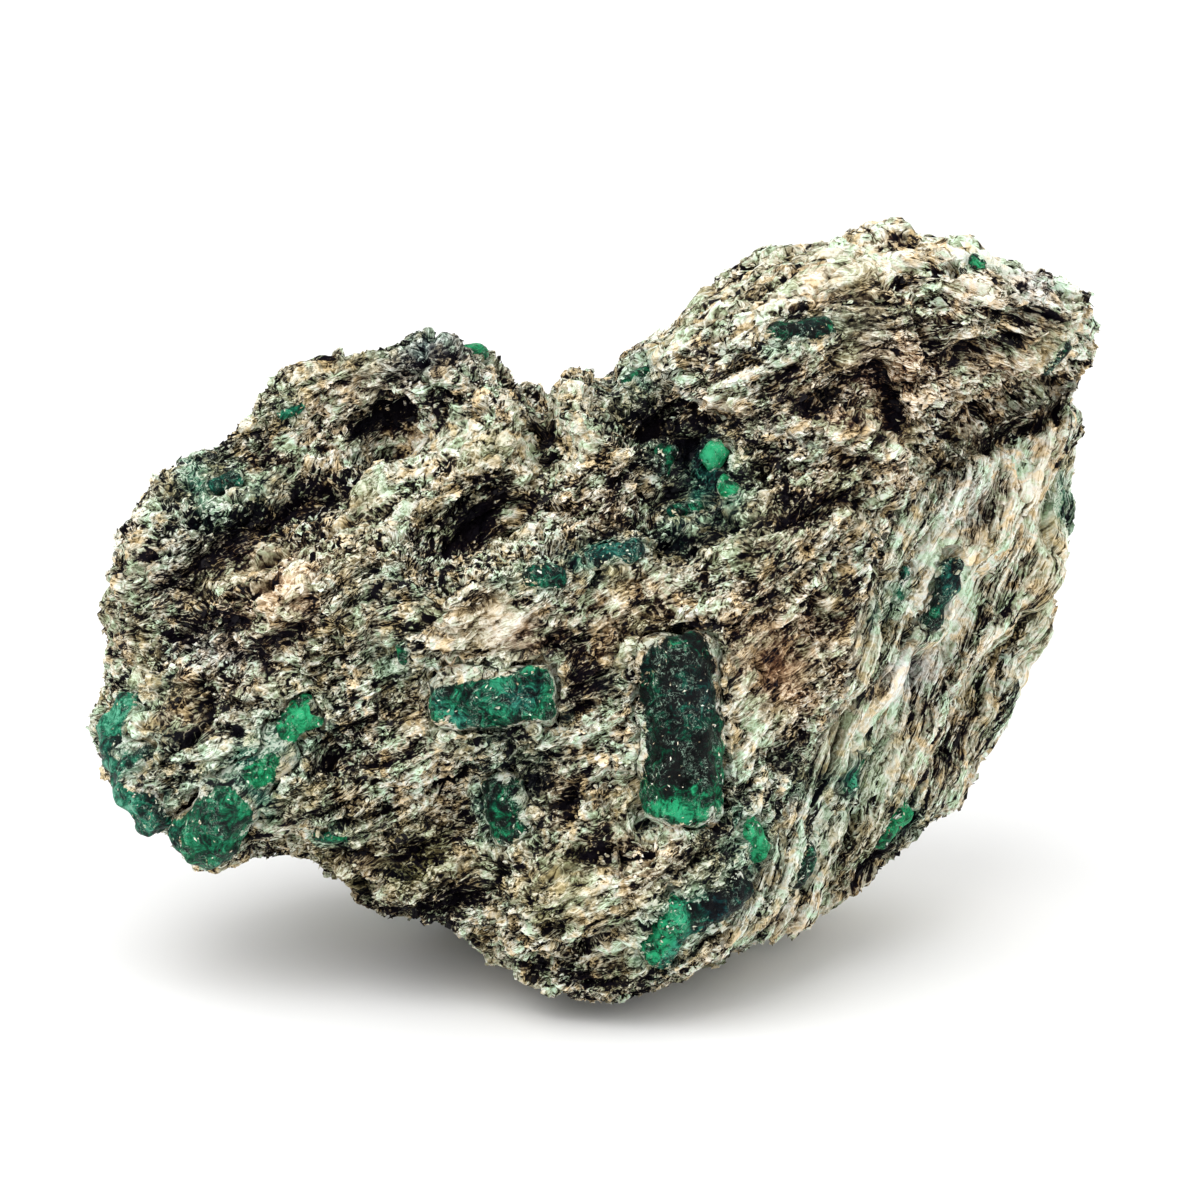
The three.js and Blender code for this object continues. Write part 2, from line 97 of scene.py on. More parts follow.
# Darker and paler patches of the schist, the darker ones partly painted shade over crevices and hollows and
# partly the schist's own dark tone, the paler ones its own paler tone: [across, up, half length, half
# width, degrees, change of shade]
TONE_AND_PAINTED_SHADE_PATCHES = [
    (-37, 3.5, 8, 2.4, 30, -0.2), (-40, -2.4, 6, 2, 0, -0.2), (-16, 24, 5.4, 2.2, 18, -0.16),
    (-21.3, 18, 3.4, 1.5, 12, -0.55), (-12, 8, 4.5, 2, 40, -0.34), (-5.2, 15.4, 0.9, 4, 8, -0.4),
    (7.5, 14, 4.5, 3, -30, -0.3), (-1, 4.4, 12, 1.6, 14, -0.2), (-25, -15.4, 3, 2.6, 20, -0.3),
    (-7, -17.5, 3.5, 2.4, 0, -0.2), (-18, -30, 8, 1.6, 20, -0.2), (-33, -4, 5, 1.2, 15, -0.16),
    (30.5, 17, 4, 1.6, 40, -0.18), (22, 11, 5, 1.6, 25, -0.14), (31.4, -7.4, 1.4, 3.4, -30, -0.2),
    (33, -9.6, 3.6, 1.2, 50, -0.3), (25.5, -29, 4.4, 2.2, 45, -0.38), (36, -13.5, 4, 1.4, 58, -0.3),
    (14, -26.5, 4, 2.4, 30, -0.18), (-2, -12, 2.4, 5, 80, -0.1), (21, -17, 2, 3, 60, -0.2),
    (-14, -22, 5, 2, 20, -0.12), (43, 17.6, 6, 0.9, 25, -0.3), (28.6, 19.4, 4, 0.8, -64, -0.3),
    (-30.7, 1.2, 3.8, 3.4, 20, 0.34), (-11, -2.5, 4.6, 3.2, 5, 0.26), (-46.5, 0, 2.5, 8, 0, 0.14),
    (-6, 13, 6, 2.5, 30, 0.14), (3, -13, 1.4, 10, 0, 0.14), (13.6, -13, 1.4, 9, 0, 0.16),
    (20, -9, 5, 4, 60, 0.08), (31, -7.4, 2.6, 2, 30, 0.3), (42, 8, 8, 5, 60, 0.14),
    (36, -1, 16, 4, 62, 0.16), (26, -16, 14, 2, 60, 0.16), (24, 33, 12, 3, 8, 0.12),
    (42, 30, 7, 4, -20, 0.14), (-22, 12, 9, 1.6, 30, 0.14), (-22, -25, 5, 3, 0, 0.12),
    (0, -29, 8, 4, 10, 0.12), (8, -33, 3, 4, 70, 0.12), (-30, 15, 8, 1.6, 30, 0.12),
    (-26, 20.6, 7, 2.6, 25, 0.1), (-12, 17, 5, 5, 0, 0.12), (-4, 16, 4, 3, 60, 0.16),
    (44, 26, 4, 3.4, 0, 0.06), (25.5, 14, 1.8, 5, -10, 0.12), (15.5, -13, 2, 7, -10, 0.14),
    (20, 25.4, 4, 1.6, 14, -0.34), (2, 3.4, 3.4, 2, 20, -0.28), (10.5, 1.4, 3, 1.4, 0, -0.24),
    (-8, -21.5, 2.4, 2.6, 0, -0.24), (30.5, -22.5, 5, 2.6, 45, -0.34), (34, 15.5, 1.6, 4, -20, -0.34),
    (-36.5, -8.4, 4, 1.6, 0, -0.24), (-22, -30, 7, 1.6, -10, -0.2), (1, -36.6, 7, 1.6, 0, -0.3),
    (-33.5, 13.6, 3.4, 2.2, 30, -0.3), (19, 19, 2.4, 1.8, 0, -0.24), (26.4, 18.6, 2.6, 2, 0, -0.3),
    (30.4, 8, 1.6, 3.4, -30, -0.22), (28, -13.4, 4, 1.4, 60, -0.22), (23, -17, 2, 2, 0, -0.2),
    (18, -5, 5, 6, 70, -0.07), (-36, -7, 4, 1.4, -15, -0.14), (-30, 9.6, 5, 1.6, 28, 0.16),
    (-14.6, 7.6, 1.6, 1.2, 0, 0.12), (27.5, 10.5, 1.6, 7, -14, 0.2), (28, -12, 5, 2, 55, -0.12),
    (30.4, 18, 1.8, 1.6, 0, 0.34), (19, 18.4, 2.2, 1.6, 0, -0.24), (36, 33, 3, 1.6, -10, 0.12),
    (0, 20, 2, 1.6, 0, 0.14), (18.4, -14, 1.4, 2.4, -20, 0.14), (-34, -1.4, 2, 1.6, 0, 0.16),
    (-20, -22, 2.4, 1.6, 0, -0.14), (-13.6, 2.6, 2, 1.4, 0, -0.14), (-26, -9, 2, 1.4, 0, -0.14),
    (4, 15, 2, 2, 0, -0.1), (22, 33.4, 4, 1.2, 0, -0.12), (30, 24.4, 2, 1.2, 0, -0.14),
    (42, 19.4, 3, 1.2, 20, 0.1), (-12, -27.4, 4, 1.4, 30, -0.24), (2, -28.4, 3, 1.8, 0, -0.18),
    (12.6, 10.6, 3, 1.4, 30, -0.2), (5.6, 18.6, 3, 1.4, -30, -0.14),
]
# Smooth places of the schist: [across, up, half length, half width, degrees, how smooth]
CALM_PATCHES = [
    (-30.7, 1.2, 4, 3.4, 20, 1.0), (-11, -2.5, 5, 3.4, 5, 1.0), (-27, 22, 6, 2.4, 30, 0.7),
    (-15, 24, 5, 2.6, 20, 0.6), (-46.5, 0, 2.5, 8, 0, 0.6), (-4, 15, 3, 4, 0, 0.5), (18, -4, 5, 6, 70, 0.7),
    (-15, 15, 6, 3, 10, 0.5), (42, 8, 3, 9, -20, 0.8), (36, 4, 3, 12, -25, 0.5), (34, -2, 10, 2, 62, 0.3),
    (40, -4, 6, 2.4, 66, 0.6), (24, -14, 8, 2.4, 60, 0.5), (31, -7.4, 2.8, 2, 30, 0.6),
    (24, 33, 14, 2.6, 4, 0.7), (44, 27, 3.6, 3, 0, 0.7), (26, 15, 2.4, 6, -10, 0.6),
    (14.6, -12, 1.8, 8, 0, 0.5), (-1, -26, 6, 4, 10, 0.4), (-38, -13, 4, 3, 0, 0.4),
]
# Patches of colour on the schist, in the same form with their strength
PEACH_PATCHES = [
    (-30.7, 1.2, 4.4, 4, 20, 1.0), (18, -4, 5, 6, 70, 0.8), (-11, -2.5, 5, 3.4, 5, 0.5),
    (27, 21, 8, 6, 20, 0.7), (4, -3, 6, 4, 0, 0.6), (-36, -10, 5, 3, 20, 0.4), (40, 21, 6, 4, 30, 0.5),
    (-24, -27, 5, 3, 0, 0.5), (0, 9, 4, 3, 0, 0.4), (6, -26, 6, 3, 0, 0.4), (20, 9, 5, 3, 20, 0.4),
    (24, 31, 10, 3, 0, 0.4), (19, -8, 3, 3, 0, 0.5),
]
OLIVE_PATCHES = [
    (-18, -25, 6, 4, 20, 0.8), (-4, -28, 8, 6, 0, 0.5), (-8, 14, 6, 4, 20, 0.4), (12, 30, 6, 4, 10, 0.3),
    (-21, 9, 6, 3, 30, 0.4), (24, 9, 3, 3, 0, 0.4), (46, 3, 2, 5, 0, 0.4), (-28, -26, 4, 2, 0, 0.5),
]
TEAL_PATCHES = [
    (-19, 25, 6, 2.6, 15, 0.4), (-40.5, 12, 4, 3.4, 45, 0.8), (-36, 9.5, 5, 2, 30, 0.6),
    (1, 4.4, 10, 2, 14, 0.7), (9, 12, 5, 3.4, -40, 0.7), (-34, -15, 7, 5, 30, 0.5),
    (-8, -16, 4, 4, 90, 0.4), (12, -28, 7, 4, 40, 0.5), (24, -20, 8, 2.0, 58, 0.6),
    (29, 1, 7, 1.8, 70, 0.5), (3, 22, 3, 3, 0, 0.6), (20, 26, 5, 1.6, 14, 0.5), (-20, -6, 2.4, 2.6, 0, 0.5),
    (-22, 2, 4, 2, 30, 0.4), (-47, -14, 3, 6, 80, 0.5), (15, -17, 2, 6, 80, 0.3),
    (14.5, -22.4, 2.6, 2.6, 0, 0.8), (6, -31.6, 2.6, 4, 0, 0.6), (-32, -15, 4, 2.4, 45, 0.5),
    (30.6, -22, 3, 3, 0, 0.6), (24, -17, 2, 2, 0, 0.7), (-9, -20, 3, 3, 0, 0.5), (12, 13.6, 2, 3, 0, 0.6),
    (-25, -23, 3, 1.4, 10, 0.6),
]
SLATE_PATCHES = [
    (-17, 24.4, 5, 2.6, 20, 1.0), (31, -7.4, 3, 2.2, 30, 0.8), (42, 31, 4, 2.2, -20, 0.6),
    (37, 10, 3, 4, 0, 0.4), (26.5, 26, 2, 4, 0, 0.5), (-37, -5, 5, 1.6, -15, 0.5),
    (-41, 4, 5, 2.4, 30, 0.4), (-10, -3, 4, 2.6, 0, 0.3),
]
# How far the broken layers stand out at the outline, in millimetres, in the same form
SWELLS = [
    (28, 38, 10, 2.5, 0, 0.8), (37, 36.5, 2, 2, 0, 0.8), (4, 25, 2.5, 2.5, 0, 0.9),
    (9.5, 30, 2.5, 2.5, 0, 0.7), (50, 26, 2.5, 5, 0, 0.7), (46, 2, 2.5, 6, 0, 1.0),
    (42.5, -9, 2.5, 3, -30, 0.8), (35, -20, 3.5, 4, -30, 1.3), (24, -29.5, 5, 2, 30, 0.5),
    (3, -37.5, 6, 2, 0, 0.5), (-44, 11, 3, 8, -35, 0.6), (-12.5, 26.5, 3, 2, 0, 0.8),
    (-4, 22, 4, 2, 0, 0.6), (-20, -31, 8, 2.5, -20, 0.7), (-50, 1, 2, 4, 0, 0.6), (13, 34, 2.5, 2, 0, -0.8),
    (-34, 21.5, 2.5, 2.5, 0, -0.5),
]
# Bright green and bluish green in the crystals, in the same form
GLOW_PATCHES = [
    (-48.8, -11, 3, 2.6, 60, 1.0), (-29, -11.6, 2.6, 2, 30, 0.9), (-33.4, -16.6, 1.4, 2.6, 0, 0.3),
    (8, -20.6, 4.6, 2.2, 0, 1.1), (11.6, -13, 0.9, 7, 0, 0.4), (-15.4, -12, 2, 1.8, 0, 0.5),
    (-12, 25.4, 2.4, 1.6, 0, 0.8), (11.6, 14, 2.2, 2, 0, 1.1), (15.4, -23, 3, 3, 0, 0.9),
    (30.8, -22, 3, 3, 0, 0.9), (6, -32, 2.4, 4, 0, 1.2), (12.6, 11, 1.4, 1.2, 0, 0.5),
    (-9, -19.6, 2, 3, 0, 0.6), (-47, -19.5, 3, 1.6, -50, 0.7), (23.8, -16.8, 2, 2, 0, 1.0),
    (28.6, 2, 2, 4, 0, 0.5), (8.6, -8, 2.6, 5.4, 0, -0.7), (8, -15.4, 2.6, 2.2, 0, -0.7),
    (-37.6, -22, 3.6, 4, 60, -0.15), (12.4, -28.6, 3.4, 2.4, 20, -0.4),
]
BLUE_PATCHES = [
    (-37.6, -22, 5, 5, 60, 0.4), (-46, -18, 4, 4, 0, 0.2), (-10.4, -9.4, 6, 3, 6, 0.3),
    (12, -29, 4, 3, 20, 0.6), (33.6, 2, 3, 6, 70, 0.7), (8.4, -9, 3, 4, 0, 0.5), (1, 4.6, 8, 3, 14, 0.7),
    (-40, 12, 5, 4, 30, 0.6),
]
# Schist that lies over the ends and corners of the crystals, or has come off them, in the same form
COVER_PATCHES = [
    (4, -3.2, 2.6, 2.4, 0, 1.4), (12.4, -3.4, 2.2, 2, 0, 1.3), (4, -22.4, 2.2, 2, 0, 1.4),
    (12.6, -22.4, 2.2, 2, 0, 1.3), (4, -12, 0.7, 3, 0, 0.7), (12.6, -9, 0.7, 2, 0, 0.6),
    (7, -2.8, 3, 0.8, 0, 0.6), (-15, -6.8, 4.6, 1.5, 8, 1.5), (-4.2, -13, 2.2, 1.8, 0, 1.3),
    (-17, -13, 2, 1.6, 0, 1.2), (-3.8, -6.4, 1.6, 1.6, 0, 1.0), (-31.2, -14, 2.4, 1.4, -45, 1.6),
    (-35.6, -17, 2.4, 1.0, -45, 1.0), (-35, -14.6, 4, 1.2, 48, 1.2), (-33.2, -19.6, 1.6, 1.4, 0, 1.0),
    (-27.6, -10, 1.2, 1.2, 0, 0.8), (-46.6, -14.4, 4, 0.9, 20, 1.0), (-44.6, -17.2, 3, 0.8, 20, 0.9),
    (8, -12.4, 2.8, 7, 0, -0.5), (-10, -10, 4.6, 2, 5, -0.3), (11.6, 14, 2, 2, 0, -0.7),
    (15, -23, 3, 3, 0, -0.9), (30.8, -22, 3, 3, 0, -0.8), (6.2, -31.4, 2.4, 3.6, 0, -0.8),
    (-29, -11.4, 2.6, 2.2, 0, -0.7), (-48.6, -11, 3, 3, 0, -0.6),
]


# Numbers and noise. The last number of each call of noise or grains is a seed that no other call has.


def lattice(cells, seed):
    """A number from 0 to 1 for each whole-number cell."""
    mixed = cells[..., 0] * 73856093 ^ cells[..., 1] * 19349663 ^ cells[..., 2] * 83492791
    mixed ^= seed * 2654435
    mixed &= 0xFFFFFFFF
    mixed = (mixed ^ (mixed >> 15)) * 2246822519 & 0xFFFFFFFF
    mixed = (mixed ^ (mixed >> 13)) * 3266489917 & 0xFFFFFFFF
    return (mixed ^ (mixed >> 16)) / 0xFFFFFFFF


def noise(points, size, seed=0):
    """Smooth noise from about -1 to 1 that changes over the given size, or sizes along each axis."""
    points = points / np.asarray(size, float)
    base = np.floor(points).astype(np.int64)
    part = points - base
    ease = part**3 * (part * (part * 6 - 15) + 10)
    total = np.zeros(len(points))
    for corner in itertools.product((0, 1), repeat=3):
        step = np.array(corner)
        slopes = np.stack([lattice(base + step, seed * 3 + k) * 2 - 1 for k in range(3)], axis=1)
        weight = np.prod(np.where(step, ease, 1 - ease), axis=1)
        total += weight * np.sum(slopes * (part - step), axis=1)
    return total * 1.6


def grains(points, size, seed=0):
    """The number of the nearest of scattered grains of the given size, and how far off its border is."""
    points = points / np.asarray(size, float)
    base = np.floor(points).astype(np.int64)
    near = np.full(len(points), 9.0)
    second = near.copy()
    number = np.zeros(len(points))
    for step in itertools.product((-1, 0, 1), repeat=3):
        cell = base + np.array(step)
        spot = cell + np.stack([lattice(cell, seed * 5 + k) for k in range(3)], axis=1)
        distance = np.linalg.norm(points - spot, axis=1)
        closer = distance < near
        second = np.where(closer, near, np.minimum(second, distance))
        number = np.where(closer, lattice(cell, seed * 5 + 4), number)
        near = np.where(closer, distance, near)
    return number, second - near


def ease_between(low, high, value):
    share = np.clip((value - low) / (high - low), 0, 1)
    return share * share * (3 - 2 * share)


def patches(places, spots):
    """Sum at places on the face of soft spots: [across, up, half length, half width, degrees, most]."""
    total = np.zeros(len(places))
    for across, up, half_length, half_width, degrees, most in spots:
        turn = math.radians(degrees)
        along = (places[:, 0] - across) * math.cos(turn) + (places[:, 1] - up) * math.sin(turn)
        over = (places[:, 1] - up) * math.cos(turn) - (places[:, 0] - across) * math.sin(turn)
        total += most * np.exp(-((along / half_length) ** 2) - (over / half_width) ** 2)
    return total


def unit(vectors):
    return vectors / np.maximum(np.linalg.norm(vectors, axis=-1, keepdims=True), 1e-9)


# Layers of the schist


def face_places(points):
    return (points - FACE_ORIGIN) @ FACE_AXES.T


def along_line(value, line, key, result):
    """Value of one coordinate of a line of [across, up] points where the other has the given value."""
    points = sorted(line, key=lambda point: point[key])
    return np.interp(value, [p[key] for p in points], [p[result] for p in points])


def zones(places):
    """Shares of the streaked right-hand face, the cap of the right lobe and the rest at each place."""
    across, up = places[:, 0], places[:, 1]
    cap = ease_between(-1.5, 1.5, up - along_line(across, CAP_EDGE, 0, 1)) * ease_between(2, 6, across)
    face = ease_between(-1, 2, across - along_line(up, FACE_EDGE, 1, 0))
    face *= ease_between(-1, 1.5, along_line(across, FACE_TOP, 0, 1) - up) * (1 - cap)
    return face, cap, 1 - face - cap


def flat_layers(places, square):
    """Coordinates along flat layers, in two directions, and square to them."""
    square = unit(np.array(square))
    trace = unit(np.cross(np.array([0.0, 0.0, 1.0]), square))
    return places @ np.stack([trace, np.cross(square, trace), square]).T


def cap_layers(places):
    """The same for layers that curve over the top of the right lobe."""
    across, up = places[:, 0] - CAP_CENTRE[0], places[:, 1] - CAP_CENTRE[1]
    reach = np.hypot(across, up)
    angle = np.arctan2(across, up)
    out = places[:, 2]
    return np.stack([angle * CAP_REACH, out * 0.85 - reach * 0.5, reach * 0.85 + out * 0.5], axis=1)


def layers_at(places):
    """Direction square to the layers at each place, as [across, up, out]."""
    face, cap, rest = zones(places)
    radial = places * (1, 1, 0) + (-CAP_CENTRE[0], -CAP_CENTRE[1], CAP_REACH / 2)
    square = (
        face[:, None] * unit(np.array(FACE_LAYERS))
        + cap[:, None] * unit(radial)
        + rest[:, None] * unit(np.array(MAIN_LAYERS))
    )
    return unit(square)


def front_share(places):
    """1 on the front, down to 0 behind it, where the listed patches end."""
    return ease_between(-6, 0, places[:, 2])


def calm_at(places):
    """How smooth the schist is at each place, from 0 to 1."""
    broad = ease_between(-0.1, 0.4, noise(places, 7, 77))
    return np.clip(0.7 * broad + patches(places, CALM_PATCHES) * front_share(places), 0, 1)


def layer_relief(coords, calm):
    """Height of the broken layers in millimetres, their darkness from 0 to 1, and their tone. The darkness
    is painted shade in the sunk hollows and in the gaps between blocks and plates, with a few plates that
    are dark of their own.
    """
    bend = np.stack([noise(coords, 9, 21 + k) for k in range(3)], axis=1) * (1.2, 1.2, 1.4)
    bend += np.stack([noise(coords, 3.2, 31 + k) for k in range(3)], axis=1) * (0.4, 0.4, 0.35)
    bent = coords + bend
    block, block_edge = grains(bent, (6, 5, 2.1), 1)
    plate, plate_edge = grains(bent, (2.8, 2.3, 0.9), 2)
    scale, scale_edge = grains(bent, (1.5, 1.3, 0.55), 6)
    hollow = noise(bent, (6.5, 5.5, 2.3), 3) + 0.6 * noise(bent, (3, 2.6, 1.1), 4)
    busy = 1 - 0.65 * calm
    height = 1.1 * (block - 0.5) - 0.6 * (1 - ease_between(0, 0.22, block_edge))
    height += 0.08 * noise(coords, 1.0, 5)
    height += busy * (
        0.7 * (plate - 0.5)
        - 0.35 * (1 - ease_between(0, 0.25, plate_edge))
        + 0.5 * (scale - 0.5)
        - 0.2 * (1 - ease_between(0, 0.25, scale_edge))
        - 1.4 * ease_between(0.22, 0.8, hollow)
    )
    # Painted shade darkens the sunk hollows and the gaps between blocks and plates; a few plates are dark
    # of their own
    dark = 0.95 * ease_between(0.3, 0.44, hollow) + 0.5 * ease_between(0.88, 0.91, plate)
    dark += 0.4 * (1 - ease_between(0, 0.12, block_edge)) + 0.2 * (1 - ease_between(0, 0.14, plate_edge))
    tone = 0.12 * (block - 0.5) + busy * (0.2 * (plate - 0.5) + 0.2 * (scale - 0.5))
    return height - SETTLE, np.clip(dark * busy, 0, 1), tone


def zone_layers(places):
    """The share of each zone, and its coordinates along and square to its layers."""
    face, cap, rest = zones(places)
    return (
        (face, flat_layers(places, FACE_LAYERS)),
        (cap, cap_layers(places)),
        (rest, flat_layers(places, MAIN_LAYERS)),
    )


def main_layer_coords(places):
    """Coordinates along and square to the layers of whichever zone is strongest at each place.

    Along the strands of the right-hand face they run slower, which draws its fibres out.
    """
    zone_shares, zone_coords = zip(*zone_layers(places))
    drawn = [coords * (share, share, 1) for coords, share in zip(zone_coords, STRAND_SHARES)]
    strongest = np.argmax(np.stack(zone_shares), axis=0)
    return np.stack(drawn)[strongest, np.arange(len(places))]


def schist_relief(places):
    """Height, darkness and tone of the schist at places on the face. The darkness is painted shade in
    hollows, gaps and crevices, with a few dark plates.
    """
    total = np.zeros((3, len(places)))
    fine = ease_between(FINE_FROM - 1, FINE_FROM + 2, places[:, 2])
    calm = 1 - (1 - calm_at(places)) * (0.35 + 0.65 * fine)
    for (share, coords), drawn in zip(zone_layers(places), PLATE_SHARES):
        chosen = share > 0.01
        relief = layer_relief(coords[chosen] * (drawn, 1, 1), calm[chosen])
        total[:, chosen] += share[chosen] * np.stack(relief)
    height, dark, tone = total
    front = ease_between(-4, 4, places[:, 2])
    crevice = patches(places, CREVICES) * front * (0.8 + 0.5 * noise(places, 2.4, 8))
    # The crevices are darkened with painted shade as well as sunk
    return height - crevice + patches(places, SWELLS), np.clip(dark + 0.55 * crevice, 0, 1), tone


# Meshes


def arrays_of(mesh):
    """Vertices in millimetres and triangles of a mesh."""
    mesh.calc_loop_triangles()
    points = np.zeros(len(mesh.vertices) * 3)
    mesh.vertices.foreach_get("co", points)
    triangles = np.zeros(len(mesh.loop_triangles) * 3, np.int32)
    mesh.loop_triangles.foreach_get("vertices", triangles)
    return points.reshape(-1, 3) / MM, triangles.reshape(-1, 3)


def normals_of(mesh):
    normals = np.zeros(len(mesh.vertices) * 3)
    mesh.vertex_normals.foreach_get("vector", normals)
    return normals.reshape(-1, 3)


def triangle_normals(points, triangles):
    corners = points[triangles]
    return unit(np.cross(corners[:, 1] - corners[:, 0], corners[:, 2] - corners[:, 0]))


def set_points(mesh, points):
    mesh.vertices.foreach_set("co", (points * MM).ravel())
    mesh.update()


def set_numbers(mesh, numbers):
    """Numbers and vectors on each vertex that the materials read by name."""
    for name, values in numbers.items():
        kind, key = ("FLOAT_VECTOR", "vector") if values.ndim > 1 else ("FLOAT", "value")
        layer = mesh.attributes.new(name, kind, "POINT")
        layer.data.foreach_set(key, np.asarray(values, np.float32).ravel())


def refine_front(mesh):
    """Cuts each face of the front into four."""
    shape = bmesh.new()
    shape.from_mesh(mesh)
    origin = Vector(FACE_ORIGIN * MM)
    out = Vector(OUT)
    front = {vertex for vertex in shape.verts if (vertex.co - origin).dot(out) > FINE_FROM * MM}
    edges = [edge for edge in shape.edges if edge.verts[0] in front and edge.verts[1] in front]
    bmesh.ops.subdivide_edges(shape, edges=edges, cuts=1, use_grid_fill=True)
    bmesh.ops.triangulate(shape, faces=shape.faces)
    shape.to_mesh(mesh)
    shape.free()
    mesh.update()


def closed_part(triangles, centre):
    """Triangles of a part of a surface, and others from its open edges to the centre point, to close it."""
    edges = np.concatenate([triangles[:, [0, 1]], triangles[:, [1, 2]], triangles[:, [2, 0]]])
    ways = edges[:, 0].astype(np.int64) << 32 | edges[:, 1]
    back = edges[:, 1].astype(np.int64) << 32 | edges[:, 0]
    rim = edges[~np.isin(ways, back)]
    walls = np.stack([rim[:, 1], rim[:, 0], np.full(len(rim), centre)], axis=1)
    return np.concatenate([triangles, walls])


def remeshed(node, name, voxel, rounding):
    """A new object with the shape of a CAD node as an even fine mesh, rounded by so many passes."""
    piece = bpy.data.objects.new(name, frame["nodes"][node].data.copy())
    piece.data.name = name
    piece.data.materials.clear()
    bpy.context.scene.collection.objects.link(piece)
    remesh = piece.modifiers.new("remesh", "REMESH")
    remesh.mode = "VOXEL"
    remesh.voxel_size = voxel * MM
    smooth = piece.modifiers.new("smooth", "SMOOTH")
    smooth.factor = 0.5
    smooth.iterations = rounding
    bpy.context.view_layer.update()
    evaluated = piece.evaluated_get(bpy.context.evaluated_depsgraph_get())
    mesh = bpy.data.meshes.new_from_object(evaluated)
    piece.modifiers.clear()
    piece.data = mesh
    mesh.name = name
    return piece


def new_piece(name, points, triangles):
    mesh = bpy.data.meshes.new(name)
    mesh.from_pydata((points * MM).tolist(), [], triangles.tolist())
    mesh.update()
    piece = bpy.data.objects.new(name, mesh)
    bpy.context.scene.collection.objects.link(piece)
    return piece


def finish_piece(piece, material, nodes=()):
    piece.data.materials.clear()
    piece.data.materials.append(material)
    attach(piece, "root")
    if nodes:
        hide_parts(*nodes)


# Flakes


PLATE_SIDES = 4
PLATE_POINTS = 2 * PLATE_SIDES
# How far a plate's ends bend down, in millimetres for each square millimetre of reach
PLATE_DROOP = 0.055


def plates(rng, centres, along, square, length, width, thick):
    """Points and triangles of closed thin plates with ragged outlines."""
    count, sides = len(centres), PLATE_SIDES
    across = unit(np.cross(square, along))
    turns = (np.arange(sides) + rng.uniform(-0.32, 0.32, (count, sides))) * (2 * math.pi / sides)
    reach = rng.uniform(0.72, 1.08, (count, sides))
    x = np.cos(turns) * reach * length[:, None] / 2
    y = np.sin(turns) * reach * width[:, None] / 2
    bend = (rng.normal(0, 0.09, (count, 1)) / length[:, None] - PLATE_DROOP) * x**2
    rings = []
    for side, shrink in ((-0.5, 0.86), (0.5, 1.0)):
        z = bend + side * thick[:, None]
        rings.append(
            centres[:, None]
            + (x * shrink)[..., None] * along[:, None]
            + (y * shrink)[..., None] * across[:, None]
            + z[..., None] * square[:, None]
        )
    points = np.concatenate(rings, axis=1).reshape(-1, 3)
    low, high = range(sides), range(sides, 2 * sides)
    one = [(low[0], low[i + 1], low[i]) for i in range(1, sides - 1)]
    one += [(high[0], high[i], high[i + 1]) for i in range(1, sides - 1)]
    for i in range(sides):
        j = (i + 1) % sides
        one += [(low[i], low[j], high[j]), (low[i], high[j], high[i])]
    triangles = np.arange(count)[:, None, None] * PLATE_POINTS + np.array(one)[None]
    return points, triangles.reshape(-1, 3)


def scatter(rng, points, triangles, weights, count):
    """Places on triangles, picked by area times weight, and the normals there."""
    corners = points[triangles]
    cross = np.cross(corners[:, 1] - corners[:, 0], corners[:, 2] - corners[:, 0])
    chance = np.linalg.norm(cross, axis=1) * weights
    picked = rng.choice(len(triangles), count, p=chance / chance.sum())
    shares = rng.dirichlet((1, 1, 1), count)
    spots = np.einsum("nk,nkc->nc", shares, corners[picked])
    return spots, unit(cross[picked])


# Materials


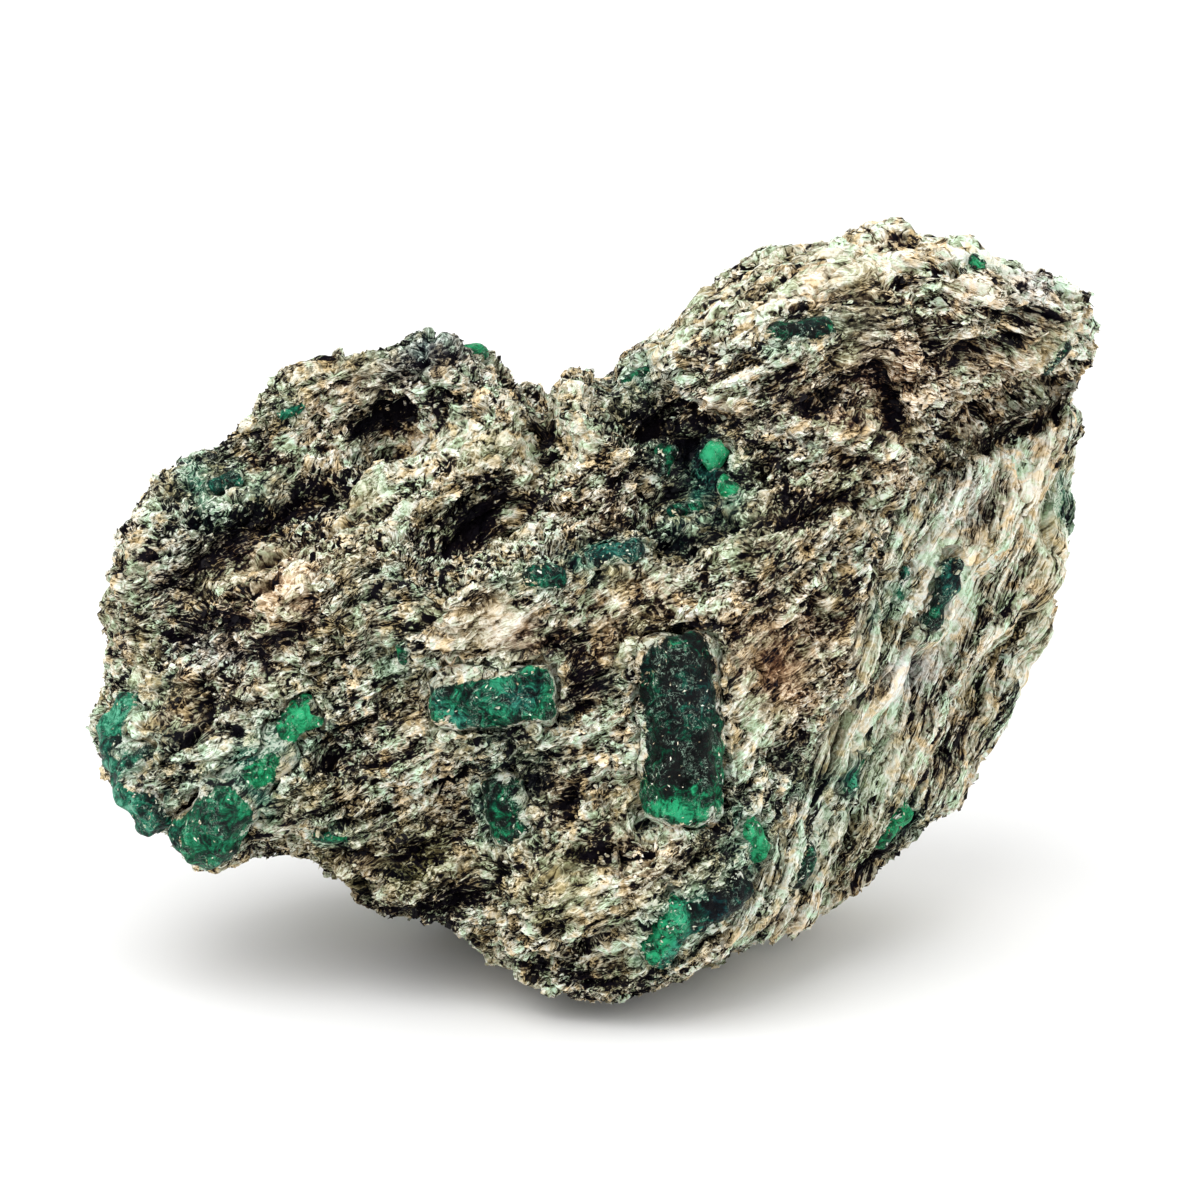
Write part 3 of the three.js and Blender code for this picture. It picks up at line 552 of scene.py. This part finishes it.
class Shader:
    """A material whose nodes are made by short calls."""

    def __init__(self, name):
        self.material = bpy.data.materials.new(name)
        self.material.use_nodes = True
        self.tree = self.material.node_tree
        self.principled = self.tree.nodes["Principled BSDF"]
        self.place = self.node("ShaderNodeTexCoord").outputs["Object"]

    def node(self, kind, inputs=None, **settings):
        node = self.tree.nodes.new(kind)
        for key, value in settings.items():
            setattr(node, key, value)
        for key, value in (inputs or {}).items():
            self.put(node.inputs[key], value)
        return node

    def put(self, socket, value):
        if isinstance(value, bpy.types.NodeSocket):
            self.tree.links.new(value, socket)
        else:
            socket.default_value = value

    def number(self, name):
        return self.node("ShaderNodeAttribute", attribute_name=name).outputs["Fac"]

    def layers(self, along_mm, square_mm):
        """Coordinates that pass over 1 in so many millimetres along the layers and square to them."""
        coords = self.node("ShaderNodeAttribute", attribute_name="layers").outputs["Vector"]
        scale = (1 / along_mm, 1 / along_mm, 1 / square_mm)
        node = self.node("ShaderNodeVectorMath", {0: coords, 1: scale}, operation="MULTIPLY")
        return node.outputs["Vector"]

    def noise(self, size_mm, detail=4.0, roughness=0.6, distortion=0.0, square_mm=None):
        """Noise of that size, or finer square to the layers where a size for that is given."""
        inputs = {
            "Vector": self.layers(size_mm, square_mm) if square_mm else self.place,
            "Scale": 1.0 if square_mm else 1 / (size_mm * MM),
            "Detail": detail,
            "Roughness": roughness,
            "Distortion": distortion,
        }
        return self.node("ShaderNodeTexNoise", inputs).outputs["Fac"]

    def ramp(self, value, *stops):
        node = self.node("ShaderNodeValToRGB", {"Fac": value})
        elements = node.color_ramp.elements
        while len(elements) < len(stops):
            elements.new(0.5)
        for element, (at, colour) in zip(elements, stops):
            element.position = at
            element.color = (*colour, 1) if isinstance(colour, tuple) else (colour, colour, colour, 1)
        return node.outputs["Color"]

    def mix(self, share, first, second, blend="MIX"):
        node = self.node("ShaderNodeMix", data_type="RGBA", blend_type=blend)
        self.put(node.inputs[0], share)
        for socket, value in ((node.inputs[6], first), (node.inputs[7], second)):
            self.put(socket, (*value, 1) if isinstance(value, tuple) else value)
        return node.outputs[2]

    def lines(self, value, width):
        """1 along the lines where a noise passes its middle, and 0 away from them."""
        away = self.math("ABSOLUTE", self.math("SUBTRACT", value, 0.5))
        return self.ramp(away, (width * 0.3, 1.0), (width, 0.0))

    def total(self, start, *parts):
        """The start and each (value, middle, factor) as factor * (value - middle)."""
        for value, middle, factor in parts:
            away = self.math("SUBTRACT", value, middle)
            start = self.math("ADD", start, self.math("MULTIPLY", away, factor))
        return start

    def math(self, operation, first, second=0.0, clamp=False):
        node = self.node("ShaderNodeMath", {0: first, 1: second}, operation=operation, use_clamp=clamp)
        return node.outputs[0]

    def bump(self, *layers):
        """Bumps from (height, distance in millimetres, strength), the finest last."""
        normal = None
        for height, distance_mm, strength in layers:
            inputs = {"Height": height, "Distance": distance_mm * MM, "Strength": strength}
            node = self.node("ShaderNodeBump", inputs)
            if normal is not None:
                self.tree.links.new(normal, node.inputs["Normal"])
            normal = node.outputs["Normal"]
        self.tree.links.new(normal, self.principled.inputs["Normal"])

    def set(self, values):
        for name, value in values.items():
            self.put(self.principled.inputs[name], value)


# Colours of the schist by its shade, as it is and where it is stained, and the tints that vary them
BLACK = (0.002, 0.0008, 0.003)
PLAIN = [
    (0.17, BLACK),
    (0.27, (0.032, 0.019, 0.016)),
    (0.38, (0.165, 0.15, 0.098)),
    (0.55, (0.42, 0.39, 0.29)),
    (0.72, (0.64, 0.62, 0.51)),
    (1, (0.9, 0.9, 0.85)),
]
STAINS = {
    "peach": [
        (0.08, BLACK),
        (0.28, (0.08, 0.036, 0.018)),
        (0.55, (0.36, 0.215, 0.115)),
        (0.8, (0.76, 0.58, 0.38)),
        (1, (0.9, 0.8, 0.68)),
    ],
    "slate": [
        (0.1, BLACK),
        (0.4, (0.04, 0.04, 0.062)),
        (0.66, (0.2, 0.2, 0.25)),
        (0.95, (0.66, 0.67, 0.68)),
    ],
    "olive": [
        (0.05, BLACK),
        (0.35, (0.09, 0.075, 0.03)),
        (0.62, (0.25, 0.235, 0.1)),
        (0.95, (0.62, 0.58, 0.4)),
    ],
    "teal": [
        (0.05, (0.001, 0.003, 0.005)),
        (0.45, (0.01, 0.075, 0.06)),
        (0.72, (0.05, 0.24, 0.14)),
        (0.95, (0.56, 0.66, 0.54)),
    ],
}
TINTS = [(0.38, (1.0, 0.81, 0.56)), (0.5, (1.0, 1.0, 1.0)), (0.62, (0.78, 1.0, 0.84))]


def schist_colours(shader):
    """The colour of schist from its shade, its fibres and the patches' numbers, and its height."""
    busy = shader.math("SUBTRACT", 1.15, shader.math("MULTIPLY", shader.number("calm"), 0.55))
    fibres = shader.noise(1.3, 4, 0.6, 0.8, square_mm=0.36)
    blots = shader.noise(2.2, 4, 0.62, 0.6, square_mm=0.95)
    grit = shader.noise(0.42, 3, 0.66)
    # Black spots where the blots are lowest: painted shade of pits that the relief doesn't have
    painted_pit_shade = shader.ramp(blots, (0.36, 1.0), (0.42, 0.0))
    wisps = shader.lines(shader.noise(1.9, 3, 0.55, 1.2, square_mm=0.55), 0.05)
    seams = shader.lines(shader.noise(2.6, 2, 0.55, 1.0, square_mm=0.85), 0.035)
    detail = shader.total(
        0.0,
        (fibres, 0.5, 1.0),
        (blots, 0.5, 1.4),
        (grit, 0.5, 1.2),
        (painted_pit_shade, 0.1, -0.5),
        (wisps, 0.1, 0.42),
        (seams, 0.1, -0.4),
    )
    varied = shader.math("ADD", shader.number("shade"), shader.math("MULTIPLY", detail, busy))
    height = shader.math("MULTIPLY", shader.math("ADD", fibres, grit), busy)
    colour = shader.ramp(varied, *PLAIN)
    tint = shader.ramp(shader.noise(1.8, 3, 0.6, 0.5), *TINTS)
    colour = shader.mix(1.0, colour, tint, "MULTIPLY")
    for name, stops in STAINS.items():
        colour = shader.mix(shader.number(name), colour, shader.ramp(varied, *stops))
    return colour, height


def schist_material():
    shader = Shader("mica_schist")
    colour, height = schist_colours(shader)
    shader.set({"Base Color": colour, "Roughness": 0.6, "Specular IOR Level": 0.06})
    shader.bump((height, 0.3, 1.0))
    return shader.material


def flake_material():
    shader = Shader("mica_flake")
    colour, height = schist_colours(shader)
    glossy = shader.ramp(shader.noise(1.4), (0.3, 0.32), (0.7, 0.62))
    shader.set({"Base Color": colour, "Roughness": glossy, "Specular IOR Level": 0.13})
    shader.bump((height, 0.15, 0.8))
    return shader.material


# Greens of each emerald from deep to light, with the blues that may take their place
GREENS = {
    "dark": [(0.0001, 0.0008, 0.0008), (0.0003, 0.012, 0.007), (0.0008, 0.09, 0.036), (0.02, 0.38, 0.16)],
    "bright": [(0.0002, 0.005, 0.004), (0.0006, 0.05, 0.022), (0.001, 0.2, 0.065), (0.03, 0.48, 0.2)],
    "pale": [(0.0002, 0.006, 0.005), (0.001, 0.05, 0.03), (0.005, 0.2, 0.1), (0.16, 0.56, 0.36)],
}
BLUES = [(0.0002, 0.0006, 0.002), (0.0006, 0.008, 0.013), (0.003, 0.045, 0.05), (0.06, 0.25, 0.24)]
GREEN_STEPS = (0.3, 0.47, 0.64, 0.9)
# How much light passes into each
PASSING = {"dark": 0.05, "bright": 0.14, "pale": 0.12}
# The pale green specks and wisps in them, partly pale mica flecks and partly painted glints
FLECK_AND_GLINT = (0.4, 0.6, 0.46)


def emerald_material(tone):
    shader = Shader("emerald_" + tone)
    cloud = shader.math("MULTIPLY", shader.math("SUBTRACT", shader.noise(1.3, 8, 0.76, 0.8), 0.5), 2.7)
    glow = shader.math("MULTIPLY", shader.number("glow"), 0.32)
    glow = shader.math("ADD", shader.math("ADD", cloud, 0.5), glow)
    green = shader.ramp(glow, *zip(GREEN_STEPS, GREENS[tone]))
    blue = shader.ramp(glow, *zip(GREEN_STEPS, BLUES))
    colour = shader.mix(shader.number("blue"), green, blue)
    # Specks and wisps of pale green: mica flecks and painted glints together
    flecks_and_glints = shader.ramp(shader.noise(0.45, 4, 0.72, 1.4), (0.57, 0.0), (0.63, 1.0))
    wisps = shader.lines(shader.noise(1.8, 3, 0.66, 2.0), 0.01)
    where = shader.ramp(shader.noise(1.8, 4, 0.66), (0.47, 0.0), (0.6, 0.7))
    shown = shader.math("MAXIMUM", flecks_and_glints, wisps)
    colour = shader.mix(shader.math("MULTIPLY", shown, where), colour, FLECK_AND_GLINT)
    ragged = shader.math("MULTIPLY", shader.math("SUBTRACT", shader.noise(1.3, 6, 0.7, 0.9), 0.5), 2.4)
    covered = shader.ramp(shader.math("ADD", shader.number("cover"), ragged), (0.5, 0.0), (0.6, 1.0))
    schist, height = schist_colours(shader)
    colour = shader.mix(covered, colour, schist)
    glossy = shader.ramp(shader.noise(0.8, 4), (0.35, 0.25), (0.65, 0.5))
    shader.set({"Base Color": colour, "Roughness": glossy, "Specular IOR Level": 0.08})
    shader.set({"IOR": 1.58, "Transmission Weight": PASSING[tone]})
    shader.bump((shader.noise(1.2, 6, 0.72, 0.5), 0.6, 1.0), (height, 0.2, 0.6))
    return shader.material


# Where the crystals are


CRYSTALS = {
    part["node"]: part["material_slot"]
    for part in frame["record"]["subparts"]
    if part["node"].startswith("emerald")
}


def crystal_tree():
    found = [arrays_of(frame["nodes"][node].data) for node in CRYSTALS]
    spots = []
    for points, triangles in found:
        corners = points[triangles]
        for shares in itertools.product(np.linspace(0, 1, 9), repeat=2):
            a, b = min(shares), abs(shares[0] - shares[1])
            spots.append(corners[:, 0] * a + corners[:, 1] * b + corners[:, 2] * (1 - a - b))
    spots = np.concatenate(spots)
    tree = KDTree(len(spots))
    for i, spot in enumerate(spots):
        tree.insert(spot, i)
    tree.balance()
    return tree


TREE = crystal_tree()


def crystal_distance(points):
    """Distance from each point to the nearest crystal's surface, in millimetres."""
    return np.array([TREE.find(point)[2] for point in points])


# The block


# Millimetres above the floor between which the relief of the block sets in, so that it stands flat
FOOT = (0.3, 1.6)
# Shade of the block, and how much paler the streaked face, the cap and the rims of the pockets are
BASE_SHADE = 0.5
FACE_SHADE = 0.15
CAP_SHADE = 0.07
RIM_SHADE = 0.13


def make_schist():
    """Makes the block in three closed pieces that meet inside it, and gives its points and triangles."""
    whole = remeshed("matrix", "schist_whole", SCHIST_VOXEL, 3)
    refine_front(whole.data)
    points, triangles = arrays_of(whole.data)
    normals = normals_of(whole.data)
    bpy.data.objects.remove(whole)
    places = face_places(points)
    height, dark, tone = schist_relief(places)
    near = crystal_distance(points)
    border = 0.3 + 0.8 * noise(points, 2.6, 64) + 0.5 * noise(points, 1.1, 65)
    height = height * ease_between(0, 0.9, near) + border * (1 - ease_between(0.4, 1.4, near))
    worn = ease_between(*FOOT, points[:, 2])
    height = np.where(worn < 1, np.minimum(height, 0) * worn, height)
    points = points + normals * height[:, None]
    points[:, 2] = np.maximum(points[:, 2], 0)
    # The block's shade carries painted shade from the hollows, crevices and low places of its relief
    shade = shade_of(places, height, dark, near) + tone
    points = np.concatenate([points, FACE_ORIGIN[None] + (0, 3, 0)])
    centre = len(points) - 1
    numbers = schist_numbers(places, near, shade)
    numbers = {name: np.concatenate([values, values[:1]]) for name, values in numbers.items()}
    middles = places[triangles].mean(axis=1)
    front = middles[:, 2] > FINE_FROM
    left = middles[:, 0] < np.median(middles[front, 0])
    material = schist_material()
    for name, chosen in (("left", front & left), ("right", front & ~left), ("back", ~front)):
        used, corners = np.unique(closed_part(triangles[chosen], centre), return_inverse=True)
        piece = new_piece("schist_" + name, points[used], corners.reshape(-1, 3))
        set_numbers(piece.data, {key: values[used] for key, values in numbers.items()})
        finish_piece(piece, material, ["matrix"])
    return points, triangles


def shade_of(places, height, dark, near):
    """Shade from 0, black, to 1, silver: painted shade in hollows, crevices and lower places, paler on
    higher ones, pale round crystals and on the streaked face.
    """
    face, cap, _ = zones(places)
    wide = noise(places, 14, 61) * 0.08 + noise(places, 4.5, 62) * 0.14
    # The darker patches are partly painted shade over crevices and hollows
    patched = patches(places, TONE_AND_PAINTED_SHADE_PATCHES) * front_share(places)
    rim = RIM_SHADE * np.exp(-((near / 1.0) ** 2))
    paler = FACE_SHADE * face + CAP_SHADE * cap + wide + patched + rim
    # Painted shade: lower places darker and higher ones paler, and the darkness of hollows, gaps and
    # crevices taken off
    return BASE_SHADE + paler + 0.08 * height - 0.5 * dark


def schist_numbers(places, near, shade):
    """What the schist's material reads at places that are near millimetres from the nearest crystal."""
    ragged = 0.75 + 0.5 * noise(places, 3.5, 71)
    front = front_share(places)
    hidden = (1 - front) * ease_between(0.25, 0.7, noise(places, 11, 73))
    stained = 0.5 * np.exp(-((near / 1.4) ** 2)) * ease_between(-0.1, 0.5, noise(places, 3, 76))
    numbers = {"shade": shade, "layers": main_layer_coords(places), "calm": calm_at(places)}
    for name, spots, more in (
        ("peach", PEACH_PATCHES, 0.4 * ease_between(0.1, 0.6, noise(places, 7, 72))),
        ("olive", OLIVE_PATCHES, 0.45 * ease_between(0.05, 0.5, noise(places, 6, 74))),
        ("slate", SLATE_PATCHES, 0.0),
        ("teal", TEAL_PATCHES, hidden + stained + 0.25 * ease_between(0.3, 0.7, noise(places, 5, 75))),
    ):
        numbers[name] = np.clip((patches(places, spots) * front + more) * ragged, 0, 1)
    return numbers


# The crystals


def make_crystals(tree):
    """The crystals, each with a number for how near the schist of the tree is, where mica covers it."""
    shaders = {tone: emerald_material(tone) for tone in GREENS}
    pieces = []
    for number, (node, slot) in enumerate(sorted(CRYSTALS.items())):
        least = min(frame["nodes"][node].dimensions) / MM
        rounding = 16 + 7 * round(least)
        piece = remeshed(node, node.replace("emerald", "crystal"), CRYSTAL_VOXEL, rounding)
        points, _ = arrays_of(piece.data)
        normals = normals_of(piece.data)
        rough = 0.5 * noise(points, 3.4, 81) + 0.4 * noise(points, 1.5, 82)
        chip, chip_edge = grains(points, (1.7, 1.7, 1.7), 83)
        rough -= 0.35 * ease_between(0.55, 1.0, chip) * ease_between(0, 0.3, chip_edge)
        points = points + normals * rough[:, None]
        set_points(piece.data, points)
        places = face_places(points)
        glow = (lattice(np.array([[number, 3, 5]]), 4)[0] - 0.5) * 0.5 + 0.4 * noise(places, 4, 84)
        front = front_share(places)
        blue = patches(places, BLUE_PATCHES) * front + 0.4 * ease_between(0.1, 0.6, noise(places, 4, 86))
        gap = np.array([tree.find_nearest(Vector(point))[3] for point in points])
        width = min(1.2, 0.2 * least)
        numbers = schist_numbers(places, np.zeros(len(points)), 0.6 + 0.15 * noise(places, 2.5, 85))
        numbers["glow"] = glow + patches(places, GLOW_PATCHES) * front
        numbers["blue"] = np.clip(blue, 0, 1)
        cover = np.exp(-((gap / width) ** 2)) + 0.8 * noise(places, 2.6, 87) - 0.1
        numbers["cover"] = cover + patches(places, COVER_PATCHES) * front
        set_numbers(piece.data, numbers)
        finish_piece(piece, shaders[slot.split("_")[1]], [node])
        pieces.append(piece)
    return pieces


# The mica flakes


FLAKES = {"left": 11500, "right": 11500, "back": 7500, "crystals": 4500}
# The front's flakes lie where the surface turns to the front by more than this, and the back's elsewhere
FRONT_FACING = -0.15
# The farthest that a flake stands off the schist, in millimetres
CLING = 0.3


def cling(points, tree):
    """Points pulled in to no farther than CLING from the surface of the tree."""
    for i, point in enumerate(points):
        spot, _, _, distance = tree.find_nearest(Vector(point))
        if distance > CLING:
            spot = np.array(spot)
            points[i] = spot + (point - spot) * CLING / distance
    return points


def make_flakes(points, triangles, tree, crystals):
    rng = np.random.default_rng(SEED)
    middles = points[triangles].mean(axis=1)
    places = face_places(middles)
    normals = triangle_normals(points, triangles)
    near = crystal_distance(middles)
    hidden = buried(middles, normals, near, crystals)
    shown = np.where(hidden, 0, 1.0) * ease_between(0.2, 1.2, middles[:, 2])
    shown *= 1 + 1.5 * np.exp(-((near / 0.9) ** 2))
    shown *= 1 - 0.85 * calm_at(places)
    front = normals @ OUT > FRONT_FACING
    left = places[:, 0] < 0
    regions = {"left": front & left, "right": front & ~left, "back": ~front}
    material = flake_material()
    for region, chosen in regions.items():
        spots, square = scatter(rng, points, triangles, shown * chosen, FLAKES[region])
        make_flake_piece(rng, "mica_flakes_" + region, spots, square, tree, material)
    make_crystal_flakes(rng, tree, crystals, material)


def make_crystal_flakes(rng, tree, crystals, material):
    """Mica that clings to the crystals, most of it at their borders."""
    found = [arrays_of(piece.data) for piece in crystals]
    starts = np.cumsum([0] + [len(points) for points, _ in found])
    points = np.concatenate([points for points, _ in found])
    triangles = np.concatenate([triangles + start for (_, triangles), start in zip(found, starts)])
    middles = points[triangles].mean(axis=1)
    normals = triangle_normals(points, triangles)
    weights = np.zeros(len(middles))
    for i, (middle, normal) in enumerate(zip(middles, normals)):
        start = Vector(middle + normal * 0.05)
        if tree.ray_cast(start, Vector(normal), 2.5)[0] is None:
            weights[i] = 0.05 + math.exp(-tree.find_nearest(start)[3] / 0.45)
    weights *= 0.4 + ease_between(-0.1, 0.5, noise(middles, 2.6, 95))
    spots, square = scatter(rng, points, triangles, weights, FLAKES["crystals"])
    count = len(spots)
    square = unit(square + rng.normal(0, 0.16, (count, 3)))
    along = unit(np.cross(square, rng.normal(0, 1, (count, 3))))
    length = np.clip(rng.lognormal(math.log(0.42), 0.45, count), 0.15, 1.3)
    width = length * rng.uniform(0.2, 0.6, count)
    thick = rng.uniform(0.04, 0.08, count)
    points, triangles = plates(rng, spots, along, square, length, width, thick)
    piece = new_piece("mica_flakes_on_crystals", points, triangles)
    shade = np.repeat(rng.normal(0.56, 0.2, count), PLATE_POINTS)
    set_numbers(piece.data, schist_numbers(face_places(points), np.zeros(len(points)), shade))
    finish_piece(piece, material)


def buried(middles, normals, near, crystals):
    """Whether places near millimetres from the crystals have one of them straight in front."""
    trees = [BVHTree.FromObject(piece, bpy.context.evaluated_depsgraph_get()) for piece in crystals]
    result = np.zeros(len(middles), bool)
    for i in np.flatnonzero(near < 1.2):
        start = Vector((middles[i] + normals[i] * 0.02) * MM)
        result[i] = any(tree.ray_cast(start, Vector(normals[i]), 1.5 * MM)[0] is not None for tree in trees)
    return result


def make_flake_piece(rng, name, spots, normals, tree, material):
    places = face_places(spots)
    count = len(spots)
    height, dark, tone = schist_relief(places)
    near = crystal_distance(spots)
    layers = layers_at(places) @ FACE_AXES
    face, cap, _ = zones(places)
    strands = np.clip(face * 0.9 + cap * 0.3 + ease_between(0.1, 0.6, noise(places, 9, 91)) * 0.3, 0, 1)
    away = np.where(np.sum(layers * normals, axis=1, keepdims=True) < 0, -1.0, 1.0)
    lean = rng.uniform(0, 0.3, (count, 1)) * (1 - 0.8 * strands[:, None])
    square = unit(layers * away * lean + normals * (1 - lean) + rng.normal(0, 0.06, (count, 3)))
    trace = unit(np.cross(layers, normals))
    border = np.exp(-((near / 1.0) ** 2))
    turn = rng.normal(0, 0.5, count) * (1 - 0.8 * strands) + rng.normal(0, 1.2, count) * border
    along = trace * np.cos(turn)[:, None] + np.cross(normals, trace) * np.sin(turn)[:, None]
    along = unit(along - square * np.sum(along * square, axis=1, keepdims=True))
    length = np.clip(rng.lognormal(math.log(1.0), 0.4, count), 0.4, 2.0) * (1 + 0.7 * strands)
    width = length * rng.uniform(0.5, 0.95, count) * (1 - 0.6 * strands)
    thick = rng.uniform(0.04, 0.09, count)
    stand = rng.uniform(-0.07, 0.05, (count, 1))
    points, triangles = plates(rng, spots + normals * stand, along, square, length, width, thick)
    points = cling(points, tree)
    points[:, 2] = np.maximum(points[:, 2], 0)
    # Flakes take the painted shade of the relief under them, as the schist does; 15 in a hundred of those
    # in it are paler
    shade = shade_of(places, height, dark, near) + tone + 0.04 + rng.normal(0, 0.06, count)
    shade += 0.3 * dark * (rng.random(count) < 0.15)
    piece = new_piece(name, points, triangles)
    near, shade = np.repeat([near, shade], PLATE_POINTS, axis=1)
    set_numbers(piece.data, schist_numbers(face_places(points), near, shade))
    finish_piece(piece, material)


# Floor, light and camera, in metres and watts


FLOOR_HALF = 3.0
# Middle of the object, that the lights face
LIGHT_AIM = (0, 0, 0.035)
# Place, width and power of each light
LIGHTS = {"key": ((-0.35, -0.45, 0.75), 1.0, 7.0), "side": ((0.8, -0.35, 0.35), 1.0, 2.5)}
# The camera looks square at the show face from this far, and its picture is so wide there
CAMERA_DISTANCE = 0.7
PICTURE_WIDTH = 0.12
SENSOR_WIDTH = 36


def make_floor():
    mesh = bpy.data.meshes.new("floor")
    corners = [(-FLOOR_HALF, -FLOOR_HALF, 0), (FLOOR_HALF, -FLOOR_HALF, 0)]
    corners += [(FLOOR_HALF, FLOOR_HALF, 0), (-FLOOR_HALF, FLOOR_HALF, 0)]
    mesh.from_pydata(corners, [], [(0, 1, 2, 3)])
    floor = bpy.data.objects.new("floor", mesh)
    bpy.context.scene.collection.objects.link(floor)
    shader = Shader("pale_floor")
    shader.set({"Base Color": (0.9, 0.9, 0.9, 1), "Roughness": 0.6})
    mesh.materials.append(shader.material)


def make_light(name, place, size, power):
    light = bpy.data.lights.new(name, "AREA")
    light.size = size
    light.energy = power
    lamp = bpy.data.objects.new(name, light)
    lamp.location = place
    lamp.rotation_euler = (Vector(LIGHT_AIM) - Vector(place)).to_track_quat("-Z", "Y").to_euler()
    bpy.context.scene.collection.objects.link(lamp)


def make_studio():
    world = bpy.data.worlds.new("studio")
    world.use_nodes = True
    background = world.node_tree.nodes["Background"]
    background.inputs["Color"].default_value = (1, 1, 1, 1)
    background.inputs["Strength"].default_value = 1.0
    bpy.context.scene.world = world
    bpy.context.scene.view_settings.view_transform = "Standard"
    for name, settings in LIGHTS.items():
        make_light(name, *settings)


def make_camera():
    camera = bpy.data.objects.new("camera", bpy.data.cameras.new("camera"))
    camera.data.sensor_width = SENSOR_WIDTH
    camera.data.lens = SENSOR_WIDTH * CAMERA_DISTANCE / PICTURE_WIDTH
    camera.data.clip_start = 0.01
    camera.location = Vector(FACE_ORIGIN * MM + OUT * CAMERA_DISTANCE)
    camera.rotation_euler = Matrix((ACROSS, UP, OUT)).transposed().to_euler()
    bpy.context.scene.collection.objects.link(camera)
    bpy.context.scene.camera = camera


schist_points, schist_triangles = make_schist()
schist_tree = BVHTree.FromPolygons(schist_points.tolist(), schist_triangles.tolist(), all_triangles=True)
crystal_pieces = make_crystals(schist_tree)
make_flakes(schist_points, schist_triangles, schist_tree, crystal_pieces)
make_floor()
make_studio()
make_camera()
